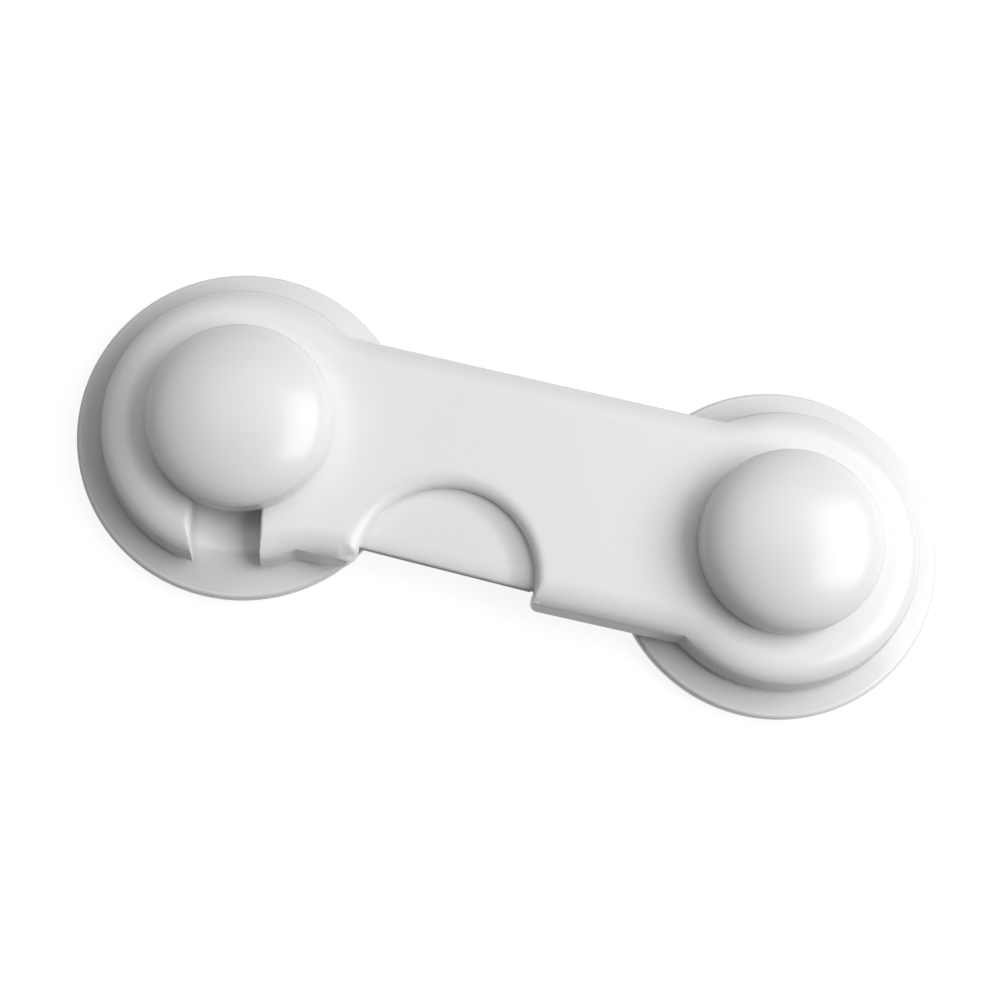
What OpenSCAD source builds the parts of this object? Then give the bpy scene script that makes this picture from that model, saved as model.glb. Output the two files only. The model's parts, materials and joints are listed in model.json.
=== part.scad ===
// Cabinet safety lock: two stick-on bases, and a dog-bone arm that turns about one post
// and hooks over the other. Millimetres. The origin is on the mounting plane, mid-way
// between the two posts; +X runs from the catch post to the pivot post, +Z out of the
// cabinet front.

/* [Layout] */
// Distance between the two posts
post_pitch = 69; // [64:1:80]

/* [Adhesive pads] */
// Thickness of the foam tape
pad_t = 1; // [0.8:0.1:2]
// How far the tape stays inside the edge of the base
pad_inset = 0.8; // [0.3:0.1:2]

/* [Bases] */
// Diameter of a base
base_d = 42; // [40:1:46]
// Height of a base without its post
base_h = 4.2; // [4:0.1:6]
// Height of the upright edge of a base
base_edge_h = 1.3; // [0.8:0.1:1.6]
// Radius of the rounding above the upright edge of a base
base_edge_r = 0.7; // [0.4:0.1:1]
// Diameter of the flat on top of a base
base_flat_d = 31; // [28:1:34]
// Wall thickness of a base
base_wall = 1.6; // [1.2:0.1:2]
// Number of ribs under a base
base_ribs = 8; // [4:1:12]
// Thickness of a rib under a base
base_rib_t = 1.1; // [0.8:0.1:1.6]
// Diameter of the raised ring that the arm bears on
thrust_d = 12; // [11:0.5:14]

/* [Posts] */
// Diameter of the neck that the arm turns on and hooks over
neck_d = 7.8; // [7:0.1:8.4]
// Diameter of the spigot that enters the cap
spigot_d = 5.6; // [5.2:0.1:6]
// Length of the spigot
spigot_h = 3; // [2.5:0.1:3.4]

/* [Caps] */
// Diameter of a cap
cap_d = 22.6; // [20:0.2:24]
// Height of the upright rim of a cap
cap_rim_h = 3.3; // [2.5:0.1:4]
// Rise of the dome above the rim
cap_rise = 4.7; // [4.2:0.1:6]
// Wall thickness of a cap
cap_wall = 1.5; // [1.2:0.1:1.8]
// Diameter of the boss inside a cap
cap_boss_d = 9.6; // [9:0.1:11]

/* [Cap screws] */
// Diameter of the screw's head
head_d = 6; // [5.6:0.1:6.4]
// Thickness of the screw's head
head_h = 1.8; // [1.4:0.1:2]
// Diameter of the screw's shank
shank_d = 2.6; // [2.2:0.1:3]
// How far the screw bites above the spigot
screw_bite = 2.2; // [1.6:0.1:2.4]

/* [Arm] */
// Diameter of the round ends of the arm
lobe_d = 35.4; // [34:0.2:37]
// Width of the waist between the round ends
waist_w = 28.8; // [28:0.2:30]
// Radius of the hollows where the waist meets the round ends
waist_fillet_r = 12; // [8:1:16]
// Thickness of the arm
arm_h = 4.2; // [4:0.1:5]
// How far in the rounding of the top edge reaches
edge_w = 3.4; // [2:0.1:3.6]
// Height of the rounding of the top edge
edge_h = 2.2; // [1.4:0.1:2.4]
// Draft of the side walls, from foot to top
edge_draft = 0.4; // [0:0.1:0.5]
// Thickness of the side walls round the mechanism
arm_wall = 1.7; // [1.5:0.1:2]
// Thickness of the top wall over the mechanism
arm_roof = 1.5; // [1.3:0.1:1.7]
// Thickness of the ribs under its round ends
lobe_rib_t = 0.9; // [0.7:0.1:1.2]
// Thickness of the cover plate
cover_t = 0.9; // [0.8:0.1:1.1]

/* [Slot] */
// Width of the slot that takes the catch neck
slot_w = 8.4; // [8:0.1:9]

/* [Half-moon] */
// Radius of the half-moon cut-out
moon_r = 11; // [9:0.5:11]
// Distance from the middle of the arm to the middle of the half-moon, towards the catch
moon_x = 5.9; // [5.5:0.1:6.5]
// How far the middle of the half-moon lies inside the edge of the waist
moon_inset = 1.5; // [1:0.1:2.5]
// How far out its softened top edge reaches
moon_edge_w = 1.8; // [0.8:0.1:2.2]
// Height of its softened top edge
moon_edge_h = 1.2; // [0.6:0.1:1.3]
// Radius of the arm's corner beside it, on the catch side
moon_corner_r = 2.6; // [1:0.1:3]
// Radius of the arm's corner beside it, on the pivot side
moon_corner_r2 = 1; // [0.5:0.1:3]

/* [Thumb latch] */
// Travel of the thumb latch
thumb_travel = 2.2; // [1.8:0.1:2.2]
// How far the latch stays inside the edge of the waist at its catch end
thumb_inset = 2.8; // [2.5:0.1:3.2]
// How much less it stays inside at its pivot end
thumb_slant = 0.6; // [0:0.1:0.8]
// Thickness of the lip under the thumb
lip_t = 1.4; // [1:0.1:1.6]
// Thickness of the tongue that reaches under the catch leaf
tongue_t = 0.6; // [0.5:0.1:0.8]

/* [Catch leaf] */
// Thickness of the flexing strip
leaf_t = 1; // [0.8:0.1:1.2]
// How far its nib closes the slot
nib_reach = 1.9; // [1.5:0.1:1.9]
// Length of the nib along the slot
nib_l = 2.8; // [2.4:0.1:3]

/* [Arm screws] */
// Diameter of the countersunk head
arm_head_d = 3; // [2.8:0.1:3.2]
// Diameter of the shank
arm_shank_d = 1.4; // [1.2:0.1:1.6]

/* [Hidden] */
$fn = 96;

// Colours of the finishes
white_shell = [0.93, 0.93, 0.92];
white_latch = [0.88, 0.88, 0.87];
foam_grey = [0.8, 0.8, 0.78];
steel_grey = [0.66, 0.67, 0.69];

// Clearances
cut = 1;
gap = 0.3;
running = 0.05;
slide = 0.1;
soft_steps = 8;

// Heights, from the mounting plane up
thrust_z = pad_t + base_h + 2*slide;
arm_z0 = pad_t + base_h + gap;
arm_z1 = arm_z0 + arm_h;
cap_z0 = arm_z1 + gap;
roof_z = arm_z1 - arm_roof;
cover_z = arm_z0 + cover_t;
latch_z0 = cover_z + slide;
latch_z1 = roof_z - slide;
tongue_z = latch_z0 + tongue_t;
leaf_z = tongue_z + slide;
rim_z = cap_z0 + cap_rim_h;

// The two posts
catch_x = -post_pitch/2;
pivot_x = post_pitch/2;
screw_z0 = pad_t + base_wall/3;
bore_d = neck_d + 2*running;

// Washer in its recess round the pivot bore
washer_d = 14;
washer_t = 0.8;
washer_z = cap_z0 - washer_t - running;
recess_z = washer_z - running;

// The hollow in the arm and what bounds it
lobe_r = lobe_d/2;
waist_y = waist_w/2;
hollow_y = waist_y - arm_wall;
hollow_r = 2.2;
slot_wall = 2.4;
slot_in_r = post_pitch - slot_w/2;
slot_out_r = post_pitch + slot_w/2;
slot_side_x = catch_x + slot_w/2;
hollow_x0 = slot_side_x + slot_wall;
hub_r = 12.5;
hollow_x1 = pivot_x - hub_r - cut;

// Half-moon
moon_cx = -moon_x;
moon_cy = -waist_y + moon_inset;

// Return spring between the latch and the shell's rib
spring_t = 0.4;
spring_chord = 16;
spring_bow = 3.2;
spring_r = (spring_chord*spring_chord/4 + spring_bow*spring_bow)/(2*spring_bow);
spring_a = asin(spring_chord/2/spring_r);
rib_t = 1.2;

// Bosses that take the arm screws: two guide the latch, one anchors the rib, one the hub
boss_r = 1.7;
guide_y = -4.5;
guide_inset = 1.5;
guide_x0 = moon_cx - moon_r - boss_r - guide_inset;
guide_x1 = moon_cx + moon_r + boss_r + guide_inset;
BOSSES = [[guide_x0, guide_y], [guide_x1, guide_y],
    [moon_cx + spring_chord/2 + rib_t + boss_r + gap, hollow_y - boss_r - cut],
    [hollow_x1 - boss_r - cut, guide_y/2]];
boss_screw_l = arm_h - arm_roof/2;

// Thumb latch, at rest against its outer stop
thumb_y0 = -waist_y + thumb_inset;
thumb_y1 = thumb_y0 - thumb_slant;
thumb_back = moon_cy + moon_r + leaf_t + arm_roof;
guide_slot_r = boss_r + slide*1.5;
wing_wall = 0.8;
wing_x0 = guide_x0 - guide_slot_r - wing_wall;
wing_x1 = guide_x1 + guide_slot_r + lip_t;
rib_y = thumb_back + spring_bow + spring_t*cos(spring_a) + 2*running;

// Catch leaf and the cam pin at its free end
leaf_x0 = hollow_x0 + arm_wall;
leaf_x1 = leaf_x0 + leaf_t;
leaf_pin_x = (leaf_x0 + leaf_x1)/2;
leaf_pin_y = -7.8;
leaf_pin_r = 0.7;
leaf_heel = 1.9;
heel_round_share = 0.6;
leaf_eye_y = hollow_y - 2*leaf_heel + gap;
leaf_root_y = leaf_eye_y - leaf_heel/2;
leaf_peg_r = 1;
cam_slot_r = leaf_pin_r + slide*1.5;
leaf_step_y = leaf_pin_y + thumb_travel + cam_slot_r + leaf_t + 2*gap;
nib_y = -neck_d/2 + gap;
nib_tip_x = slot_side_x - nib_reach;
tongue_x0 = leaf_pin_x - cam_slot_r - wing_wall;

// Points of a quarter ellipse from [x0 + a, z0] up to [x0, z0 + b]
function quarter(x0, z0, a, b, n) =
    [for (i = [0:n]) [x0 + a*cos(90*i/n), z0 + b*sin(90*i/n)]];

// Half profile of a piece with a drafted side and a rounded top edge, out to radius r
function edge_profile(r, inner) = concat(
    [[inner, arm_z0], [r, arm_z0]],
    quarter(r - edge_draft - edge_w, arm_z1 - edge_h, edge_w, edge_h, soft_steps),
    [[inner, arm_z1]]);

// What the same edge leaves free inside a hollow of radius r
function hollow_profile(r) = concat(
    [[0, arm_z0 - cut], [r, arm_z0 - cut], [r, arm_z0]],
    quarter(r + edge_draft + edge_w, arm_z1 - edge_h, -edge_w, edge_h, soft_steps),
    [[r + edge_draft + edge_w, arm_z1 + cut], [0, arm_z1 + cut]]);

// Obround along Y, by its two centres
module obround(x, y0, y1, r) {
    translate([x, y0]) circle(r = r);
    translate([x, y1]) circle(r = r);
    translate([x - r, min(y0, y1)]) square([2*r, abs(y1 - y0)]);
}

// Rectangle with round corners, by its lowest and highest corner
module soft_rect(lo, hi, r) {
    translate([lo[0] + r, lo[1]]) square([hi[0] - lo[0] - 2*r, hi[1] - lo[1]]);
    translate([lo[0], lo[1] + r]) square([hi[0] - lo[0], hi[1] - lo[1] - 2*r]);
    for (x = [lo[0] + r, hi[0] - r], y = [lo[1] + r, hi[1] - r])
        translate([x, y]) circle(r = r);
}

module slab(z0, z1) {
    translate([0, 0, z0]) linear_extrude(z1 - z0) children();
}

// Foam tape disc under a base
module pad(x) {
    color(foam_grey) translate([x, 0, 0]) cylinder(r = base_d/2 - pad_inset, h = pad_t);
}

// Outside of a base with its post: taper, rounded edge, thrust ring, neck and spigot
module base_body() {
    flat_r = base_flat_d/2;
    edge_z = pad_t + base_edge_h;
    rotate_extrude() polygon(concat(
        [[0, pad_t], [base_d/2 - gap, pad_t], [base_d/2, pad_t + gap]],
        quarter(base_d/2 - base_edge_r, edge_z, base_edge_r, base_edge_r, soft_steps),
        [[flat_r + gap, pad_t + base_h - gap/2], [flat_r - gap, pad_t + base_h]],
        [[thrust_d/2 + gap, pad_t + base_h], [thrust_d/2, thrust_z], [neck_d/2, thrust_z],
         [neck_d/2, cap_z0], [spigot_d/2, cap_z0], [spigot_d/2, cap_z0 + spigot_h - gap],
         [spigot_d/2 - gap, cap_z0 + spigot_h], [0, cap_z0 + spigot_h]]));
}

// Cored-out underside of a base: a ring pocket that follows the taper, crossed by ribs
module base_coring() {
    flat_r = base_flat_d/2;
    inner_r = head_d/2 + gap + base_wall;
    difference() {
        rotate_extrude() polygon(concat(
            [[inner_r, pad_t - cut], [base_d/2 - base_wall, pad_t - cut],
             [base_d/2 - base_wall, pad_t + base_edge_h/2]],
            [[flat_r, pad_t + base_h - base_wall], [inner_r, pad_t + base_h - base_wall]]));
        for (i = [0:base_ribs - 1])
            rotate([0, 0, 360*i/base_ribs])
                translate([0, -base_rib_t/2, 0]) cube([base_d/2, base_rib_t, arm_z1]);
    }
}

// Round base with its post, cored from below and bored for the cap screw
module base(x) {
    color(white_shell) translate([x, 0, 0]) difference() {
        base_body();
        base_coring();
        translate([0, 0, pad_t - cut])
            cylinder(r = head_d/2 + gap, h = screw_z0 + head_h - pad_t + cut);
        cylinder(r = shank_d/2 + gap, h = cap_z0 + spigot_h + cut);
    }
}

// Pan-head screw that pulls the cap down on the post
module cap_screw(x) {
    tip_z = cap_z0 + spigot_h + screw_bite;
    color(steel_grey) translate([x, 0, 0]) difference() {
        rotate_extrude() polygon(concat(
            [[0, screw_z0], [head_d/2 - gap, screw_z0], [head_d/2, screw_z0 + gap],
             [head_d/2, screw_z0 + head_h], [shank_d/2, screw_z0 + head_h],
             [shank_d/2, tip_z - shank_d/2], [0, tip_z]]));
        for (a = [0, 90])
            rotate([0, 0, a]) translate([-head_d/4, -gap, screw_z0 - cut])
                cube([head_d/2, 2*gap, cut + head_h/2]);
    }
}

// Domed cap: upright rim, dome, and a boss that sits on the neck
module cap(x) {
    cap_r = cap_d/2;
    in_r = cap_r - cap_wall;
    boss_r1 = cap_boss_d/2;
    color(white_shell) translate([x, 0, 0]) difference() {
        rotate_extrude() polygon(concat(
            [[0, cap_z0], [boss_r1, cap_z0], [boss_r1, rim_z], [in_r, rim_z], [in_r, cap_z0],
             [cap_r - gap, cap_z0], [cap_r, cap_z0 + gap]],
            quarter(0, rim_z, cap_r, cap_rise, soft_steps*2)));
        translate([0, 0, cap_z0 - cut]) cylinder(r = spigot_d/2 + running, h = spigot_h + slide + cut);
        cylinder(r = shank_d/2, h = cap_z0 + spigot_h + screw_bite + slide);
    }
}

// Flat washer between the arm and the boss of the pivot cap
module washer() {
    color(white_latch) translate([pivot_x, 0, washer_z]) difference() {
        cylinder(r = washer_d/2, h = washer_t);
        translate([0, 0, -cut]) cylinder(r = neck_d/2 + 2*slide, h = washer_t + 2*cut);
    }
}

// Outside of the arm: round ends, waist, and the four hollows that blend them
module arm_body() {
    fillet_cy = waist_y + waist_fillet_r;
    fillet_dx = sqrt(pow(lobe_r + waist_fillet_r, 2) - fillet_cy*fillet_cy);
    fillet_cx = pivot_x - fillet_dx;
    fillet_a = atan(fillet_dx/fillet_cy);
    reach = waist_fillet_r + edge_w + edge_draft + 2*arm_wall;
    for (x = [catch_x, pivot_x])
        translate([x, 0, 0]) rotate_extrude() polygon(edge_profile(lobe_r, 0));
    waist_l = 2*(fillet_cx + edge_w + 2*cut);
    translate([-waist_l/2, 0, 0]) rotate([90, 0, 90]) linear_extrude(waist_l) polygon(concat(
        edge_profile(waist_y, 0),
        [for (i = [len(edge_profile(waist_y, 0)) - 1:-1:0])
            [-edge_profile(waist_y, 0)[i][0], edge_profile(waist_y, 0)[i][1]]]));
    for (sx = [0, 1], sy = [0, 1])
        mirror([sx, 0, 0]) mirror([0, sy, 0])
            translate([fillet_cx, -fillet_cy, 0]) difference() {
                slab(arm_z0, arm_z1) polygon([[0, 0], [0, reach],
                    [reach*sin(fillet_a), reach*cos(fillet_a)]]);
                rotate_extrude() polygon(hollow_profile(waist_fillet_r));
            }
}

// The catch neck's way out of the arm: an arc about the pivot, with a round seat
module slot_cut() {
    sweep = asin((lobe_r + neck_d)/post_pitch);
    translate([catch_x, 0, arm_z0 - cut]) cylinder(r = slot_w/2, h = arm_h + 2*cut);
    translate([pivot_x, 0, 0]) rotate([0, 0, 180]) rotate_extrude(angle = sweep, $fn = 360)
        translate([slot_in_r, arm_z0 - cut]) square([slot_w, arm_h + 2*cut]);
}

// Half-moon cut through the lower edge, with a softened top edge
module moon_cut() {
    translate([moon_cx, moon_cy, arm_z0 - cut]) cylinder(r = moon_r, h = arm_h + 2*cut);
    translate([moon_cx - moon_r, moon_cy - lobe_r, arm_z0 - cut])
        cube([2*moon_r, lobe_r, arm_h + 2*cut]);
    translate([moon_cx, moon_cy, 0]) rotate_extrude() polygon(concat(
        [[0, arm_z1 - moon_edge_h]],
        quarter(moon_r + moon_edge_w, arm_z1 - moon_edge_h, -moon_edge_w, moon_edge_h, soft_steps),
        [[moon_r + moon_edge_w, arm_z1 + cut], [0, arm_z1 + cut]]));
    for (c = [[-1, moon_corner_r], [1, moon_corner_r2]])
        translate([moon_cx + c[0]*(moon_r + c[1]), c[1] - waist_y, 0])
            slab(arm_z0 - cut, arm_z1 + cut) difference() {
                translate([c[0] > 0 ? -c[1] - cut : 0, -c[1] - cut]) square([c[1] + cut, c[1] + cut]);
                circle(r = c[1]);
            }
}

// Hollow for the mechanism, less the bosses, the rib and the peg that stay in it
module arm_hollow() {
    difference() {
        slab(arm_z0 - cut, roof_z)
            soft_rect([hollow_x0, -hollow_y], [hollow_x1, hollow_y], hollow_r);
        for (p = BOSSES)
            translate([p[0], p[1], cover_z]) cylinder(r = boss_r, h = arm_h);
        slab(cover_z, arm_z1)
            translate([moon_cx - spring_chord/2 - rib_t, rib_y])
                square([spring_chord + 2*rib_t, rib_t]);
        translate([leaf_pin_x, leaf_eye_y, cover_z]) cylinder(r = leaf_peg_r, h = arm_h);
    }
    slab(arm_z0 - cut, roof_z)
        translate([nib_tip_x, nib_y - nib_l - slide*2])
            square([hollow_x0 - nib_tip_x + cut, nib_l + slide*4]);
}

// Cored-out underside of a round end: its outer half, crossed by ribs
module lobe_coring(x, side) {
    near = slot_w/2 + arm_wall;
    translate([x, 0, 0]) rotate([0, 0, side > 0 ? 180 : 0]) intersection() {
        difference() {
            slab(arm_z0 - cut, roof_z) difference() {
                circle(r = lobe_r - arm_wall);
                circle(r = washer_d/2 + gap);
            }
            for (a = [-60:30:60])
                rotate([0, 0, a]) translate([0, -lobe_rib_t/2, 0]) cube([lobe_r, lobe_rib_t, arm_z1]);
        }
        translate([near, -lobe_r, 0]) cube([lobe_r, lobe_d, arm_z1]);
    }
}

// The arm: one moulding with slot, half-moon, bore and hollow
module arm_shell() {
    color(white_shell) difference() {
        arm_body();
        slot_cut();
        moon_cut();
        arm_hollow();
        translate([pivot_x, 0, arm_z0 - cut]) cylinder(r = bore_d/2, h = arm_h + 2*cut);
        translate([pivot_x, 0, recess_z]) cylinder(r = washer_d/2 + 2*slide, h = arm_h);
        lobe_coring(catch_x, 1);
        lobe_coring(pivot_x, -1);
        for (p = BOSSES)
            translate([p[0], p[1], arm_z0]) cylinder(r = arm_shank_d/2, h = boss_screw_l);
    }
}

// Cover plate in the mouth of the hollow, set back under the thumb latch
module arm_cover() {
    lip_back = thumb_y0 + lip_t + thumb_travel + gap;
    color(white_shell) difference() {
        slab(arm_z0, cover_z) difference() {
            soft_rect([hollow_x0 + slide, -hollow_y + slide],
                [hollow_x1 - slide, hollow_y - slide], hollow_r - slide);
            translate([moon_cx - moon_r - slide, -lobe_r])
                square([2*(moon_r + slide), lobe_r + lip_back]);
        }
        for (p = BOSSES)
            translate([p[0], p[1], arm_z0])
                cylinder(r1 = arm_head_d/2, r2 = arm_shank_d/2, h = cover_t);
    }
}

// Countersunk screws that hold the cover plate
module arm_screws() {
    color(steel_grey) for (p = BOSSES)
        translate([p[0], p[1], arm_z0]) rotate_extrude() polygon(
            [[0, 0], [arm_head_d/2, 0], [arm_shank_d/2, cover_t],
             [arm_shank_d/2, boss_screw_l - arm_shank_d/2 - slide], [0, boss_screw_l - slide]]);
}

// Thumb latch: the plate seen in the half-moon, its lip, and the tongue with the cam slot
module thumb_latch() {
    lip_z = arm_z0 + slide;
    lip_x0 = moon_cx - moon_r + gap;
    lip_x1 = moon_cx + moon_r - gap;
    color(white_latch) {
        slab(latch_z0, latch_z1) difference() {
            polygon([[wing_x0, thumb_back], [wing_x0, thumb_y0], [lip_x0, thumb_y0],
                [lip_x1, thumb_y1], [wing_x1, thumb_y1], [wing_x1, thumb_back]]);
            for (x = [guide_x0, guide_x1])
                obround(x, guide_y, guide_y - thumb_travel, guide_slot_r);
        }
        slab(lip_z, latch_z1)
            polygon([[lip_x0, thumb_y0], [lip_x1, thumb_y1],
                [lip_x1, thumb_y1 + lip_t], [lip_x0, thumb_y0 + lip_t]]);
        slab(latch_z0, tongue_z) difference() {
            translate([tongue_x0, thumb_y0])
                square([wing_x0 - tongue_x0 + gap, leaf_pin_y + cam_slot_r + leaf_t - thumb_y0]);
            for (s = [0, thumb_travel])
                translate([leaf_pin_x + s, leaf_pin_y - s]) circle(r = cam_slot_r);
            polygon([for (q = [[-1, -1, 0], [1, 1, 0], [1, 1, 1], [-1, -1, 1]])
                [leaf_pin_x + q[0]*cam_slot_r*sqrt(0.5) + q[2]*thumb_travel,
                 leaf_pin_y + q[1]*cam_slot_r*sqrt(0.5) - q[2]*thumb_travel]]);
        }
    }
}

// Catch leaf: a heel on the shell's peg, a flexing strip, the nib and the cam pin
module catch_leaf() {
    color(white_latch) {
        slab(latch_z0, latch_z1) difference() {
            union() {
                soft_rect([hollow_x0 + slide, leaf_root_y - leaf_heel/2],
                    [leaf_pin_x + leaf_heel, leaf_eye_y + leaf_heel], leaf_heel*heel_round_share);
                translate([leaf_x0, leaf_step_y]) square([leaf_t, leaf_root_y - leaf_step_y]);
            }
            translate([leaf_pin_x, leaf_eye_y]) circle(r = leaf_peg_r + slide);
        }
        slab(leaf_z, latch_z1) {
            obround(leaf_pin_x, leaf_step_y, leaf_pin_y, leaf_t/2);
            translate([leaf_pin_x, leaf_pin_y]) circle(r = leaf_pin_r + slide);
            polygon([[leaf_pin_x, nib_y], [nib_tip_x, nib_y], [nib_tip_x, nib_y - nib_l/4],
                [nib_tip_x + nib_l*3/4, nib_y - nib_l], [leaf_pin_x, nib_y - nib_l]]);
        }
        slab(latch_z0, latch_z1)
            translate([leaf_pin_x, leaf_pin_y]) circle(r = leaf_pin_r);
    }
}

// Bowed spring strip: its ends on the latch, its middle on the shell's rib
module return_spring() {
    color(steel_grey) translate([moon_cx, rib_y - running - spring_r, latch_z0 + slide])
        rotate([0, 0, 90 - spring_a]) rotate_extrude(angle = 2*spring_a)
            translate([spring_r - spring_t, 0]) square([spring_t, latch_z1 - latch_z0 - 2*slide]);
}

pad(catch_x);  // catch_pad
base(catch_x);  // catch_base
cap_screw(catch_x);  // catch_screw
cap(catch_x);  // catch_cap
pad(pivot_x);  // pivot_pad
base(pivot_x);  // pivot_base
cap_screw(pivot_x);  // pivot_screw
cap(pivot_x);  // pivot_cap
washer();  // pivot_washer
arm_shell();
arm_cover();
arm_screws();
thumb_latch();
catch_leaf();
return_spring();
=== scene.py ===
"""Looks of the cabinet safety lock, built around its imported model."""

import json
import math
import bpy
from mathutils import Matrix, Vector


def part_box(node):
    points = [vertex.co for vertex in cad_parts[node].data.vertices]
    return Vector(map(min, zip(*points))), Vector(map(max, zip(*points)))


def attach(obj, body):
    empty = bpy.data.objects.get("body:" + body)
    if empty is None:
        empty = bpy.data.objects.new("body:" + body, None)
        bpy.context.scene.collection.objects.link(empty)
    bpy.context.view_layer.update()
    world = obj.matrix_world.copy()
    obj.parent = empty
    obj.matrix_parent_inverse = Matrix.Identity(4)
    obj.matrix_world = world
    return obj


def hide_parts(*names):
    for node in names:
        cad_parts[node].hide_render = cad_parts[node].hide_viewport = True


bl_info = {
    "name": "Cabinet Lock",
    "version": (1, 0, 0),
    "blender": (4, 5, 0),
    "location": "View3D > Sidebar > Cabinet Lock",
    "description": "Moulded pieces, finishes and studio of a stick-on cabinet lock",
    "category": "Add Mesh",
}

import bmesh
import bpy
import numpy as np
from bpy.props import FloatProperty, FloatVectorProperty, PointerProperty
from mathutils import Matrix, Vector
from mathutils.geometry import delaunay_2d_cdt

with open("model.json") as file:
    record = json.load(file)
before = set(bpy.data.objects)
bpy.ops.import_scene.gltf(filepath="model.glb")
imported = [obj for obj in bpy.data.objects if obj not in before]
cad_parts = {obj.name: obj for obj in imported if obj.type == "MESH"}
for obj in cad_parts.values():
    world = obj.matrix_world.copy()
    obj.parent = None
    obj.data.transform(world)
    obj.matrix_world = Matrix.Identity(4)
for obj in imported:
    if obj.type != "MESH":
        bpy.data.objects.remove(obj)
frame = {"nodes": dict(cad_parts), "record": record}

MM = 0.001
TURN = 2 * math.pi
POSTS = ("catch", "pivot")
# Points nearer together than this are one point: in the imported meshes, and in new ones
MERGE = 0.001 * MM
FINE_MERGE = 0.0002 * MM
# Scale of the noise and depth of the relief of each kind of grain
PLASTIC_GRAIN = (2600, 0.004 * MM)
FOAM_GRAIN = (5200, 0.06 * MM)
STEEL_GRAIN = (3800, 0.006 * MM)
# Edges that bend by more degrees than this stay sharp
SHARP_CAP, SHARP_TOP, SHARP_BASE = 32, 34, 26


def length(label, text, default):
    """A size in metres that a user may change."""
    return FloatProperty(
        name=label, description=text, default=default, unit="LENGTH", subtype="DISTANCE", min=0)


def colour(label, text, default):
    """A colour that a user may change."""
    return FloatVectorProperty(
        name=label, description=text, default=default, subtype="COLOR", size=3, min=0, max=1)


def strength(label, text, default):
    """The strength of a light that a user may change."""
    return FloatProperty(name=label, description=text, default=default, min=0)


def post_axis(side):
    """X of the axis of one post, from its pad."""
    low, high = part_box(side + "_pad")
    return (low.x + high.x) / 2


class LockSizes(bpy.types.PropertyGroup):
    """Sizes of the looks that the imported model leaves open."""

    soft_edge: length("Soft edge", "Radius of the small moulded edges", 0.35 * MM)
    slot_soft_edge: length("Slot edge", "Radius of the slot's edge on the catch side", 0.95 * MM)
    arm_seam: length("Arm seam", "Height over which the arm's top is made anew", 8.3 * MM)
    arm_draft: length("Arm draft", "How far the arm's walls lean in", 0.4 * MM)
    arm_edge: length("Arm edge", "How far in the rounding of the arm's top edge reaches", 3.4 * MM)
    arm_edge_drop: length("Arm edge height", "Height of the arm's rounded top edge", 2.2 * MM)
    waist_width: length("Waist", "Width of the arm between its round ends", 28.8 * MM)
    waist_blend: length("Waist hollow", "Radius of the hollows beside the waist", 12 * MM)
    slot_width: length("Slot", "Width of the slot", 8.4 * MM)
    moon_radius: length("Half-moon", "Radius of the half-moon", 11 * MM)
    moon_offset: length("Half-moon place", "From the arm's middle to the half-moon's", 5.9 * MM)
    moon_inset: length("Half-moon inset", "From the arm's edge to the half-moon's middle", 1.5 * MM)
    moon_edge: length("Half-moon edge", "How far out its rounding reaches", 1.9 * MM)
    moon_edge_drop: length("Half-moon edge height", "Height of its rounding", 1.2 * MM)
    moon_corner_left: length("Left corner", "Radius of the corner on the catch side", 2.6 * MM)
    moon_corner_right: length("Right corner", "Radius of the corner on the pivot side", 1.0 * MM)
    plate_seam: length("Plate seam", "Height over which the plate's top is made anew", 6.7 * MM)
    plate_hollow: length("Plate hollow", "How far the thumb plate lies under its wings", 0.75 * MM)
    plate_ramp: length("Plate ramp", "How far outside the half-moon the hollow ends", 1.1 * MM)
    plate_rise: length("Plate rise", "How far inside it the plate rises to the pivot", 3.8 * MM)
    plate_edge: length("Plate edge", "How far in the plate's round front edge reaches", 2.2 * MM)
    plate_edge_drop: length("Plate edge height", "Height of that round front edge", 0.62 * MM)
    washer_seat: length("Washer seat", "Radius of the washer's recess", 7.2 * MM)
    washer_play: length("Washer play", "Room under the washer", 0.05 * MM)
    cap_rim: length("Cap rim", "Height of a cap's upright rim", 3.3 * MM)
    cap_wall: length("Cap wall", "Wall of a cap", 1.5 * MM)
    cap_boss: length("Cap boss", "Width of the boss in a cap", 9.6 * MM)
    spigot_bore: length("Spigot bore", "Width of the bore over a spigot", 5.7 * MM)
    shank_width: length("Screw bore", "Width of the screw's bore in a cap", 2.6 * MM)


class LockColours(bpy.types.PropertyGroup):
    """Colours of the finishes."""

    shell: colour("Moulding", "White of the bases, caps and arm", (0.86, 0.86, 0.86))
    latch: colour("Latch", "White of the thumb latch", (0.84, 0.84, 0.835))
    foam: colour("Foam", "Foam tape under the bases", (0.74, 0.74, 0.71))
    steel: colour("Steel", "Screws and spring", (0.56, 0.57, 0.59))
    backdrop: colour("Backdrop", "Floor under the lock", (0.2, 0.2, 0.2))


class LockStudio(bpy.types.PropertyGroup):
    """Strengths of the lights."""

    key: strength("Key", "Power of the broad light from the right", 3.35)
    back: strength("Back", "Power of the soft light from beyond the lock", 0.75)
    fill: strength("Fill", "Strength of the even light all round", 0.09)


def lock():
    """The settings of this scene's lock."""
    scene = bpy.context.scene
    return scene.lock_sizes, scene.lock_colours, scene.lock_studio


def new_material(name):
    """A material with its node tree and its shader."""
    material = bpy.data.materials.new(name)
    material.use_nodes = True
    tree = material.node_tree
    shader = tree.nodes["Principled BSDF"]
    return material, tree, shader


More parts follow.
